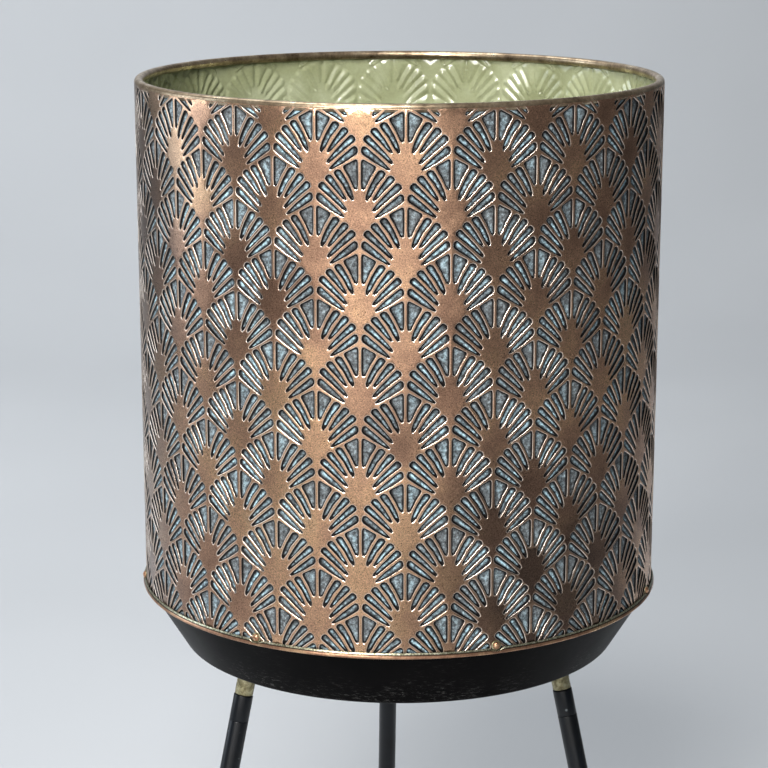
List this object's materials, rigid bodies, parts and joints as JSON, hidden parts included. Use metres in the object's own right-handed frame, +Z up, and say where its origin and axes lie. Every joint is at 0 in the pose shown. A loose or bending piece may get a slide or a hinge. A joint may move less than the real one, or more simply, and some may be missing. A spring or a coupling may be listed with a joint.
{
  "type": "footed planter pot",
  "caption": "Round metal planter pot with an embossed fan pattern, a beaded collar and a shallow base pan, raised on splayed screw-in legs.",
  "frame": {"origin": "on the floor plane, on the pot's own axis", "axes": "+Z up along the pot's axis; -Y is the front, between the left and right legs"},
  "size_m": [0.3277, 0.3466, 0.65],
  "materials": {
    "embossed_copper": "brushed antique copper with a grey-blue patina in the recesses, olive paint inside",
    "copper_trim": "satin copper",
    "zinc_wire": "drawn wire",
    "black_paint": "satin black paint",
    "bush_brass": "mottled olive brass",
    "zinc_stud": "zinc plated",
    "black_leg": "satin black paint",
    "black_foot": "matt black"
  },
  "bodies": {
    "pot": {"pot_shell": "embossed_copper", "rim_wire": "zinc_wire", "collar_ring": "copper_trim", "base_pan": "black_paint", "rivets": "copper_trim", "bush_left": "bush_brass", "bush_right": "bush_brass", "bush_rear": "bush_brass"},
    "stud_left_body": {"stud_left": "zinc_stud"},
    "leg_left": {"leg_socket_left": "black_leg", "leg_tube_left": "black_leg", "foot_left": "black_foot"},
    "stud_right_body": {"stud_right": "zinc_stud"},
    "leg_right": {"leg_socket_right": "black_leg", "leg_tube_right": "black_leg", "foot_right": "black_foot"},
    "stud_rear_body": {"stud_rear": "zinc_stud"},
    "leg_rear": {"leg_socket_rear": "black_leg", "leg_tube_rear": "black_leg", "foot_rear": "black_foot"}
  },
  "joints": [
    {"name": "leg_left_travel", "type": "slide", "parent": "pot", "child": "stud_left_body", "axis": [-0.1882, -0.1232, -0.9744], "range_m": [0, 0.016]},
    {"name": "leg_left_turn", "type": "hinge", "parent": "stud_left_body", "child": "leg_left", "pos_m": [-0.09121, -0.05968, 0.297], "axis": [-0.1882, -0.1232, -0.9744], "range_deg": [0, 4608]},
    {"name": "leg_right_travel", "type": "slide", "parent": "pot", "child": "stud_right_body", "axis": [0.2008, -0.1014, -0.9744], "range_m": [0, 0.016]},
    {"name": "leg_right_turn", "type": "hinge", "parent": "stud_right_body", "child": "leg_right", "pos_m": [0.09729, -0.04915, 0.297], "axis": [0.2008, -0.1014, -0.9744], "range_deg": [0, 4608]},
    {"name": "leg_rear_travel", "type": "slide", "parent": "pot", "child": "stud_rear_body", "axis": [-0.0126, 0.2246, -0.9744], "range_m": [0, 0.016]},
    {"name": "leg_rear_turn", "type": "hinge", "parent": "stud_rear_body", "child": "leg_rear", "pos_m": [-0.00609, 0.10883, 0.297], "axis": [-0.0126, 0.2246, -0.9744], "range_deg": [0, 4608]}
  ],
  "couplings": [
    {"joint": "leg_left_turn", "follows": "leg_left_travel", "rad_per_m": 5026.5},
    {"joint": "leg_right_turn", "follows": "leg_right_travel", "rad_per_m": 5026.5},
    {"joint": "leg_rear_turn", "follows": "leg_rear_travel", "rad_per_m": 5026.5}
  ]
}
